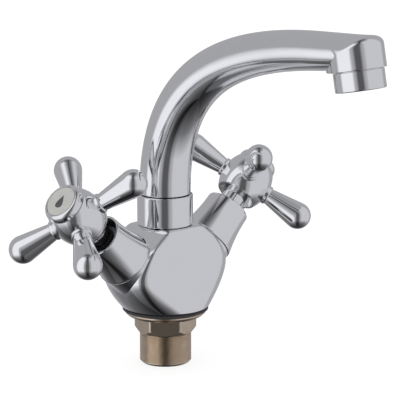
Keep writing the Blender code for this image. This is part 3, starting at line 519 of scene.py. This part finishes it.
def brass(light, dark, spread):
    """Turned brass: fine rings from the tool and slow patches of tarnish."""
    def build(m):
        rings = m.noise(0.35 * MM, 2.0, (0.06, 0.06, 1))
        patches = m.noise(6 * MM, 5.0, rough=0.65)
        return {"Base Color": m.blend(patches, light, dark),
                "Roughness": spread + patches * 0.18 + rings * 0.06,
                "Normal": m.bump(rings + patches * 0.5, 0.012 * MM)}
    return build


def moulded(light, dark, grain, rough, depth):
    """Moulded rubber or plastic: a fine grain with a little mottling."""
    def build(m):
        fine = m.noise(grain, 3.0)
        slow = m.noise(5 * MM, 3.0)
        return {"Base Color": m.blend(slow, light, dark),
                "Roughness": rough + fine * 0.12,
                "Normal": m.bump(fine, depth)}
    return build


def enamel(light, dark):
    """Pad-printed index plate: brushed silver-white lacquer with small specks."""
    def build(m):
        speck = m.noise(0.45 * MM, 3.0, rough=0.7)
        slow = m.noise(4 * MM, 2.0)
        spots = m.node("ShaderNodeValToRGB", {"stops": [(0.30, (1, 1, 1, 1)), (0.40, (0, 0, 0, 1))]},
                       {0: speck})
        return {"Base Color": m.blend(spots * 0.35 + slow * 0.25, light, dark),
                "Roughness": 0.42 + speck * 0.15,
                "Normal": m.bump(speck, 0.01 * MM)}
    return build


METAL = {"Metallic": 1.0}
FINISHES = {
    "chrome_cast": finish_of("chrome_cast", chrome(16 * MM, 0.035 * MM, 0.5 * MM, 0.035), **METAL),
    # Turned chrome is rougher inside the bells and carries painted shade there.
    "chrome_turned": finish_of("chrome_turned", chrome(11 * MM, 0.012 * MM, 0.4 * MM, 0.018,
                                                      unpolished_and_shade=bell_recess_unpolished_and_shade), **METAL),
    "brass_turned": finish_of("brass_turned", brass((0.76, 0.64, 0.50, 1), (0.52, 0.42, 0.32, 1),
                                                    0.10), **METAL),
    "brass_inner": finish_of("brass_inner", brass((0.66, 0.55, 0.36, 1), (0.45, 0.36, 0.22, 1),
                                                  0.26), **METAL),
    "rubber": finish_of("rubber", moulded((0.016, 0.016, 0.017, 1), (0.03, 0.03, 0.032, 1),
                                          0.3 * MM, 0.5, 0.02 * MM)),
    "nylon": finish_of("nylon", moulded((0.62, 0.63, 0.64, 1), (0.5, 0.51, 0.52, 1),
                                        0.4 * MM, 0.38, 0.01 * MM)),
    "steel": finish_of("steel", brass((0.62, 0.62, 0.63, 1), (0.5, 0.5, 0.5, 1), 0.28), **METAL),
    "ceramic": finish_of("ceramic", moulded((0.82, 0.81, 0.78, 1), (0.74, 0.73, 0.70, 1),
                                            0.2 * MM, 0.18, 0.004 * MM)),
    "index_enamel": finish_of("index_enamel", enamel((0.52, 0.525, 0.50, 1),
                                                     (0.20, 0.20, 0.19, 1)), Metallic=0.0),
    "index_mark": finish_of("index_mark", moulded((0.05, 0.05, 0.055, 1), (0.09, 0.09, 0.095, 1),
                                                  0.3 * MM, 0.35, 0.01 * MM)),
}


def add(name, grids, slot, body, *nodes):
    """A finished piece: mesh, finish, the body it rides on and the nodes it stands for."""
    thing = join_grids(name, grids)
    thing.data.materials.append(FINISHES[slot])
    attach(thing, body)
    if nodes:
        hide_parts(*nodes)
    return thing


# ---------------------------------------------------------------- pieces

def make_body():
    """Body skin with its two bosses and necks, and the upstand inside the collar."""
    grids = [(body_skin(), False)]
    for side in SIDES.values():
        boss = rounded([(0.5 * MM, 20 * MM), (BOSS_RADIUS, 20 * MM, 1 * MM),
                        (BOSS_RADIUS, ARM_FACE, 0.2 * MM), (NECK_RADIUS, ARM_FACE, 0.3 * MM),
                        (NECK_RADIUS, NECK_END, 0.3 * MM), (0.5 * MM, NECK_END)])
        grids.append((turned(boss, *arm_axis(side)), False))
    stem = rounded([(0.5 * MM, BODY_TOP - 5 * MM), (UPSTAND_RADIUS, BODY_TOP - 5 * MM),
                    (UPSTAND_RADIUS, UPSTAND_TOP, 0.3 * MM), (0.5 * MM, UPSTAND_TOP)])
    grids.append((turned(stem), False))
    add("body_casting", grids, "chrome_cast", "fixed", "body")


def make_bell(name, side):
    """Flared bell: R = rim + (base - rim)(1 - v)^2 above a short straight lip."""
    foot = BELL_FOOT + 1.2 * MM
    v = np.linspace(0, 1, 60)[:-2]
    flare = [(BELL_RIM_RADIUS + (BELL_BASE_RADIUS - BELL_RIM_RADIUS) * (1 - u) ** 2,
              foot + (BELL_RIM - foot) * u) for u in v]
    inner = BELL_RIM_RADIUS - BELL_WALL
    web = NECK_END + GAP
    rim = BELL_RIM - BELL_WALL / 2
    arc = [(BELL_RIM_RADIUS - BELL_WALL / 2 + BELL_WALL / 2 * math.cos(a),
            rim + BELL_WALL / 2 * math.sin(a)) for a in np.linspace(0.2, math.pi, 9)]
    outer = rounded([(NECK_RADIUS + GAP, web), (NECK_RADIUS + GAP, BELL_FOOT, 0.3 * MM),
                     (BELL_BASE_RADIUS, BELL_FOOT, 0.35 * MM), (BELL_BASE_RADIUS, foot)])
    inside = rounded([(inner, rim), (inner, web + 1.5 * MM), (CARTRIDGE_BORE, web + 1.5 * MM),
                      (CARTRIDGE_BORE, web), (NECK_RADIUS + GAP - 1e-6, web)])
    profile = np.concatenate([outer, flare, arc, inside[1:]])
    add(name + "_bell_cover", [(turned(profile, *arm_axis(side)), True)],
        "chrome_turned", "fixed", name + "_bell")


def make_hub(name, side):
    """Hub globe, an ellipse about the lever plane, with a recessed back and a short nose."""
    s = np.linspace(HUB_BACK, HUB_NOSE, 70)
    globe = np.stack([HUB_RADIUS * np.sqrt(1 - ((s - LEVER_PLANE) / HUB_HALF_LENGTH) ** 2), s], 1)
    mouth = globe[0, 0] - 1.2 * MM
    floor = 7.4 * MM
    t = np.linspace(0, 1, 12)
    bowl = np.stack([mouth + (floor - mouth) * t,
                     HUB_BACK + 3.6 * MM * np.sin(t * math.pi / 2)], 1)
    bore, deep = 4.3 * MM, LEVER_PLANE - 3 * MM
    back = rounded([(0.4 * MM, deep), (bore, deep), (bore, HUB_BACK + 3.6 * MM, 0.2 * MM),
                    (floor - 0.3 * MM, HUB_BACK + 3.6 * MM)])
    rim = rounded([tuple(bowl[0]), (globe[0, 0] - 0.6 * MM, HUB_BACK - 0.05 * MM),
                   tuple(globe[0])], 0.2 * MM)
    nose = rounded([tuple(globe[-1]) + (0,), (globe[-1, 0] - 0.35 * MM, HUB_NOSE + 0.1 * MM),
                    (7.9 * MM, HUB_NOSE + 0.1 * MM), (7.9 * MM, LEVER_PLANE + 2.9 * MM),
                    (0.4 * MM, LEVER_PLANE + 2.9 * MM)])
    profile = np.concatenate([back, bowl[::-1], rim[1:], globe[1:], nose[1:]])
    add(name + "_hub_globe", [(turned(profile, *arm_axis(side), around=128), False)],
        "chrome_turned", name + "_handle", name + "_hub")


def lever_profile():
    """Stud, collar, cone and the ball that the cone runs into on a tangent."""
    seat, root_radius = 13.0 * MM, 4.6 * MM
    root = seat + 2.2 * MM
    reach = BULB_DISTANCE - root
    slope = math.asin(BULB_RADIUS / math.hypot(reach, root_radius)) \
        - math.atan2(root_radius, reach)
    start = math.pi / 2 + slope
    a = np.linspace(start, 0.02, 40)
    ball = np.stack([BULB_RADIUS * np.sin(a), BULB_DISTANCE + BULB_RADIUS * np.cos(a)], 1)
    foot = rounded([(0.2 * MM, seat - 3.4 * MM), (2.5 * MM, seat - 3.4 * MM, 0.2 * MM),
                    (2.5 * MM, seat), (5.4 * MM, seat, 0.2 * MM), (5.4 * MM, root, 0.6 * MM),
                    (root_radius, root + 0.15 * MM), tuple(ball[0])])
    return np.concatenate([foot[:-1], ball])


def make_levers(name, side):
    """Four levers at right angles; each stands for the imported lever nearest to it."""
    origin, out = arm_axis(side)
    across, upright, out = axes_along(out)
    centre = np.array(origin) + out * LEVER_PLANE
    profile = lever_profile()
    nodes = {f"{name}_lever_{i}": sum((np.array(v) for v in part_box(f"{name}_lever_{i}"))) / 2
             for i in range(1, 5)}
    for k in range(4):
        angle = TURN / 8 + k * TURN / 4
        along = across * math.cos(angle) + upright * math.sin(angle)
        middle = centre + along * 25 * MM
        node = min(nodes, key=lambda n: np.linalg.norm(nodes[n] - middle))
        a = along / np.linalg.norm(along)
        ring = np.arange(72) / 72 * TURN
        b = np.cross(out, a)
        grid = (centre + profile[:, 0, None, None] * (np.cos(ring)[:, None] * b
                                                      + np.sin(ring)[:, None] * out)
                + profile[:, 1, None, None] * a)
        add(f"{node}_arm", [(grid, False)], "chrome_turned", name + "_handle", node)


def make_cap(name, side):
    """Bezel whose flank curves in from the hub to the recess of the index plate."""
    foot = HUB_NOSE + GAP
    top = foot + CAP_HEIGHT
    floor = top - CAP_RECESS
    recess = INDEX_RADIUS + 0.25 * MM
    rise, run = CAP_FLANK, CAP_RADIUS - recess - 0.15 * MM
    flank = [(recess + 0.15 * MM + run * math.cos(a), top - rise + rise * math.sin(a))
             for a in np.linspace(0, math.pi / 2, 20)]
    stem = rounded([(0.4 * MM, foot - 5 * MM), (7.6 * MM, foot - 5 * MM, 0.3 * MM),
                    (7.6 * MM, foot), (CAP_RADIUS, foot, 0.3 * MM),
                    (CAP_RADIUS, top - rise - 0.02 * MM)], 0.4 * MM)
    bowl = rounded([(recess, top - 0.05 * MM), (recess, floor), (0.4 * MM, floor)], 0.4 * MM)
    profile = np.concatenate([stem, flank, bowl])
    add(name + "_bezel", [(turned(profile, *arm_axis(side)), False)],
        "chrome_turned", name + "_handle", name + "_cap")
    plate = rounded([(0.3 * MM, floor + 0.3 * MM), (INDEX_RADIUS, floor + 0.3 * MM),
                     (INDEX_RADIUS, top, 0.2 * MM), (0.3 * MM, top)])
    add(name + "_index_plate", [(turned(plate, *arm_axis(side)), False)],
        "index_enamel", name + "_handle", name + "_index")
    make_mark(name, side, top)


def make_mark(name, side, face):
    """Plain drop on the index plate: r(t) = a (1 - sin t) cos t across, a' sin t up.

    The outline is drawn four times, shrinking towards the middle as it rises, so that the
    drop is a thin closed pad with a soft edge.
    """
    origin, out = arm_axis(side)
    upright, across, out = axes_along(out)
    t = (np.arange(72) + 0.5) / 72 * TURN
    drop_across = 1.8 * MM * (1 - np.sin(t)) * np.cos(t)
    drop_up = -side * 3.9 * MM * np.sin(t)
    rows = []
    for share, height in ((0.5, -0.1), (1.0, -0.1), (1.0, 0.02), (0.96, 0.05), (0.5, 0.05)):
        flat = share * (drop_across[:, None] * across + drop_up[:, None] * upright)
        rows.append(np.array(origin) + flat + out * (face + height * MM))
    add(name + "_index_mark", [(np.stack(rows), False)], "index_mark", name + "_handle")


def make_headwork(name, side):
    """Plated headwork: the neck between the bell and the handle, and its softened nut."""
    foot = NECK_END + GAP + 1.5 * MM + GAP
    profile = rounded([(0.4 * MM, 36 * MM), (9.0 * MM, 36 * MM, 0.4 * MM), (9.0 * MM, foot),
                       (9.2 * MM, foot), (9.2 * MM, foot + 4.5 * MM, 0.5 * MM),
                       (6.9 * MM, foot + 5.3 * MM, 0.4 * MM), (6.9 * MM, 76.75 * MM, 0.4 * MM),
                       (4.3 * MM, 76.75 * MM), (4.3 * MM, 70 * MM), (0.4 * MM, 70 * MM)])
    origin, out = arm_axis(side)
    a, b, d = axes_along(out)
    t = np.arange(96) / 96 * TURN
    flat = 10.6 * MM * math.cos(math.pi / 6) / np.cos((t + math.pi / 6) % (math.pi / 3)
                                                      - math.pi / 6)
    flat = smallest(flat, 10.0 * MM, 30.0)
    rows = []
    for radius, height in ((0.6, 0.4), (1.0, 0.4), (1.0, 4.1), (0.6, 4.1)):
        reach = flat * radius
        rows.append(np.array(origin) + reach[:, None] * (np.cos(t)[:, None] * a
                                                         + np.sin(t)[:, None] * b)
                    + d * (foot + height * MM))
    add(name + "_headwork_shell", [(turned(profile, origin, out), False),
                                   (np.stack(rows), False)],
        "chrome_turned", "fixed", name + "_headwork")


def make_collar():
    """Collar nut under the spout with softly broken edges."""
    low, high = COLLAR_LOW, COLLAR_HIGH
    profile = rounded([(9.1 * MM, high - 0.1 * MM), (9.1 * MM, high), (COLLAR_RADIUS, high, 0.6 * MM),
                       (COLLAR_RADIUS, low, 0.6 * MM), (12.9 * MM, low), (12.9 * MM, high - 5 * MM),
                       (9.1 * MM, high - 5 * MM)])
    add("collar_nut", [(turned(profile, around=128), True)], "chrome_turned", "fixed", "collar")


def make_seal():
    """Rubber ring under the body, barrelled at its edge."""
    low, high = SEAL_LOW, SEAL_HIGH
    profile = rounded([(12.5 * MM, low), (SEAL_RADIUS, low, 0.5 * MM), (SEAL_RADIUS, high, 0.5 * MM),
                       (12.5 * MM, high)])
    add("foot_ring", [(turned(profile, around=128), True)], "rubber", "fixed", "foot_seal")


def make_shank():
    """Brass fitting: flange, hexagon and a tail with a rolled thread.

    The thread is a screw surface: r(t, z) = R - depth * wave(z / pitch + t / turn), with the
    depth fading out at both ends of the tail.
    """
    pitch, depth, radius = THREAD_PITCH, THREAD_DEPTH, THREAD_RADIUS
    foot, head = TAIL_FOOT, TAIL_HEAD
    t = np.arange(144) / 144 * TURN
    z = np.linspace(foot + 1.2 * MM, head + 0.2 * MM, 190)
    phase = z[:, None] / pitch - t / TURN
    wave = np.abs((phase % 1.0) * 2 - 1)
    wave = np.clip(wave * 1.25 - 0.12, 0, 1)
    fade = np.clip((z - foot - 1.2 * MM) / (0.8 * MM), 0, 1) * np.clip((head - z) / (0.9 * MM), 0, 1)
    reach = radius - depth * wave * fade[:, None]
    tail = np.stack([reach * np.cos(t), reach * np.sin(t),
                     np.broadcast_to(z[:, None], reach.shape)], -1)

    def ring(r, height):
        """Plain ring of the same step count."""
        return np.stack([r * np.cos(t), r * np.sin(t), np.full(144, height)], -1)

    chamfer = [ring(11.0 * MM, v) for v in np.linspace(11.5 * MM, foot, 10)]
    chamfer += [ring(12.6 * MM, foot), ring(12.8 * MM, foot)]
    flange = rounded([(14.0 * MM, 0.0), (20.4 * MM, 0.0, 0.3 * MM), (22.0 * MM, 1.6 * MM, 0.3 * MM),
                      (22.0 * MM, 2.5 * MM, 0.2 * MM), (12.2 * MM, 2.5 * MM),
                      (12.2 * MM, 11.5 * MM, 0.3 * MM), (11.0 * MM, 11.5 * MM)])
    upper = [ring(r, h) for r, h in flange[:-1]]
    loop = np.concatenate([np.stack(chamfer), tail, np.stack(upper)])
    across = HEXAGON_CORNER * math.cos(math.pi / 6)
    turn = (t - HEXAGON_FACING) % (math.pi / 3)
    flat = across / np.cos(turn - math.pi / 6)
    rows = [np.stack([r * np.cos(t), r * np.sin(t), np.full(144, h)], -1) for r, h in
            [(np.full(144, 11.5 * MM), head), (np.full(144, 13.2 * MM), head)]]
    slope = math.tan(HEXAGON_CHAMFER)
    for v in np.linspace(0, 1, 8):
        bound = 14.4 * MM + (17.0 - 14.4) * MM * v
        rows.append(np.stack([np.minimum(flat, bound) * np.cos(t),
                              np.minimum(flat, bound) * np.sin(t),
                              np.full(144, head + (bound - 14.4 * MM) * slope)], -1))
    for height in np.linspace(head + 2.6 * MM * slope + 0.2 * MM, 0.8 * MM, 12):
        rows.append(np.stack([flat * np.cos(t), flat * np.sin(t), np.full(144, height)], -1))
    rows.append(np.stack([11.5 * MM * np.cos(t), 11.5 * MM * np.sin(t),
                          np.full(144, 0.8 * MM)], -1))
    add("threaded_shank", [(loop, True), (np.stack(rows), True)], "brass_turned", "fixed", "shank")


def make_spout():
    """Arm, nozzle block and heel of the cast spout."""
    mouth, axis, ahead, _ = nozzle_frame()
    back = ahead if ahead[1] > 0 else -ahead
    heel = rounded([(0.4 * MM, 0.1 * MM), (10.0 * MM, 0.1 * MM, 0.8 * MM), (10.0 * MM, 9 * MM),
                    (0.4 * MM, 9 * MM)])
    add("spout_casting", [(spout_skin(), False), (nozzle_skin(), False),
                          (turned(heel, mouth + back * 7.5 * MM, axis), False)],
        "chrome_cast", "spout", "spout")


def make_aerator():
    """Aerator housing with a soft bottom edge; its screen and insert keep their nodes."""
    mouth, axis, _, _ = nozzle_frame()
    foot = -AERATOR_LENGTH
    housing = rounded([(9.1 * MM, foot + 0.9 * MM), (9.1 * MM, foot, 0.3 * MM),
                       (AERATOR_RADIUS, foot, 0.7 * MM), (AERATOR_RADIUS, -GAP, 0.3 * MM),
                       (11.5 * MM, -0.3 * MM), (11.5 * MM, 5 * MM), (10.0 * MM, 5 * MM),
                       (10.0 * MM, foot + 0.9 * MM)])
    add("aerator_shell", [(turned(housing, mouth, axis), True)], "chrome_turned", "spout",
        "aerator_housing")


make_body()
make_collar()
make_seal()
make_shank()
make_spout()
make_aerator()
for name, side in SIDES.items():
    make_bell(name, side)
    make_hub(name, side)
    make_levers(name, side)
    make_cap(name, side)
    make_headwork(name, side)

# The nodes that stay take the finish of their own slot.
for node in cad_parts.values():
    for slot in node.material_slots:
        key = (slot.material.name if slot.material else "steel").split(".")[0]
        slot.material = FINISHES.get(key, FINISHES["steel"])

# ---------------------------------------------------------------- room and camera

EYE = Vector((-0.7633, -0.7611, 0.2948))
AIM = Vector((0.02705, 0.0, 0.0586))


def make_camera():
    """A long lens at the height of a person who stands at the basin."""
    data = bpy.data.cameras.new("camera")
    data.lens = 184.85
    data.sensor_width = 36.0
    data.clip_end = 20.0
    camera = bpy.data.objects.new("camera", data)
    camera.location = EYE
    camera.rotation_mode = "QUATERNION"
    camera.rotation_quaternion = (AIM - EYE).to_track_quat("-Z", "Y")
    bpy.context.scene.collection.objects.link(camera)
    bpy.context.scene.camera = camera


# Plain studio: grey walls, a large soft panel on the left, a weaker one on the right and a
# dark flag behind the camera.  Each is (middle bearing, half width, grey), in degrees.
WALL_GREY = 0.4
KEY_PANEL = (-60, 25, 0.9)
FLAG = (0, 10, 0.1)
FILL_PANEL = (75, 40, 0.6)
PANEL_EDGE = 10
# Below the bench line and up at the ceiling the room is dark: (elevation, share)
RISE = ((-90, 0.05), (-50, 0.3), (-30, 1.0), (60, 1.0), (90, 0.2))


def make_room():
    """Studio seen in the metal: three panels round the bearing, dark below and above.

    Brightness is a function of direction: the panels by bearing, times a share by elevation.
    """
    world = bpy.data.worlds.new("studio")
    bpy.context.scene.world = world
    world.use_nodes = True
    m = Maker(world.node_tree)
    where = m.node("ShaderNodeTexCoord", output="Generated")
    east, north, height = (m.node("ShaderNodeSeparateXYZ", {}, {0: where}, output=k)
                           for k in range(3))
    front = math.atan2(EYE.y - AIM.y, EYE.x - AIM.x)
    ahead = east * math.cos(front) + north * math.sin(front)
    right = north * math.cos(front) - east * math.sin(front)
    bearing = right.math("ARCTAN2", ahead) * (1 / TURN) + 0.5

    greys = [(-180, WALL_GREY)]
    for middle, half, grey in (KEY_PANEL, FLAG, FILL_PANEL):
        greys += [(middle - half - PANEL_EDGE, WALL_GREY), (middle - half, grey),
                  (middle + half, grey), (middle + half + PANEL_EDGE, WALL_GREY)]
    greys.append((180, WALL_GREY))
    walls = m.node("ShaderNodeValToRGB", {"stops": [
        (angle / 360 + 0.5, (grey, grey, grey * 1.05, 1)) for angle, grey in greys]},
        {0: bearing})
    rise = m.node("ShaderNodeValToRGB", {"stops": [
        (math.sin(math.radians(a)) / 2 + 0.5, (g, g, g, 1)) for a, g in RISE]},
        {0: height * 0.5 + 0.5})
    seen = m.node("ShaderNodeMix", {"data_type": "RGBA", "blend_type": "MULTIPLY"},
                  {0: 1.0, 6: walls, 7: rise}, output=2)
    shine = m.node("ShaderNodeBackground", {}, {"Color": seen, "Strength": 1.0})
    plain = m.node("ShaderNodeBackground", {}, {"Color": (1, 1, 1, 1), "Strength": 1.0})
    glossy = m.node("ShaderNodeLightPath", output="Is Glossy Ray")
    mixed = m.node("ShaderNodeMixShader", {}, {0: glossy, 1: plain, 2: shine})
    m.node("ShaderNodeOutputWorld", {}, {"Surface": mixed})


def make_floor():
    """Plain pale floor that glows a little, so that it stays as light as the room."""
    low = float(cad_low.z)
    half = 4.0
    mesh = bpy.data.meshes.new("floor")
    mesh.from_pydata([(-half, -half, low), (half, -half, low), (half, half, low),
                      (-half, half, low)], [], [(0, 1, 2, 3)])
    floor = bpy.data.objects.new("floor", mesh)
    bpy.context.scene.collection.objects.link(floor)
    material = finish_of("floor_paint", lambda m: {
        "Base Color": m.blend(m.noise(0.2, 2.0), (0.25, 0.25, 0.25, 1), (0.27, 0.27, 0.27, 1)),
        "Emission Color": m.blend(m.noise(0.3, 2.0), (1, 1, 1, 1), (0.99, 0.99, 0.99, 1))},
        Roughness=0.9)
    shader = next(n for n in material.node_tree.nodes if n.type == "BSDF_PRINCIPLED")
    shader.inputs["Emission Strength"].default_value = 0.8
    mesh.materials.append(material)
    floor.visible_glossy = False


make_camera()
make_room()
make_floor()
bpy.context.scene.view_settings.view_transform = "Standard"
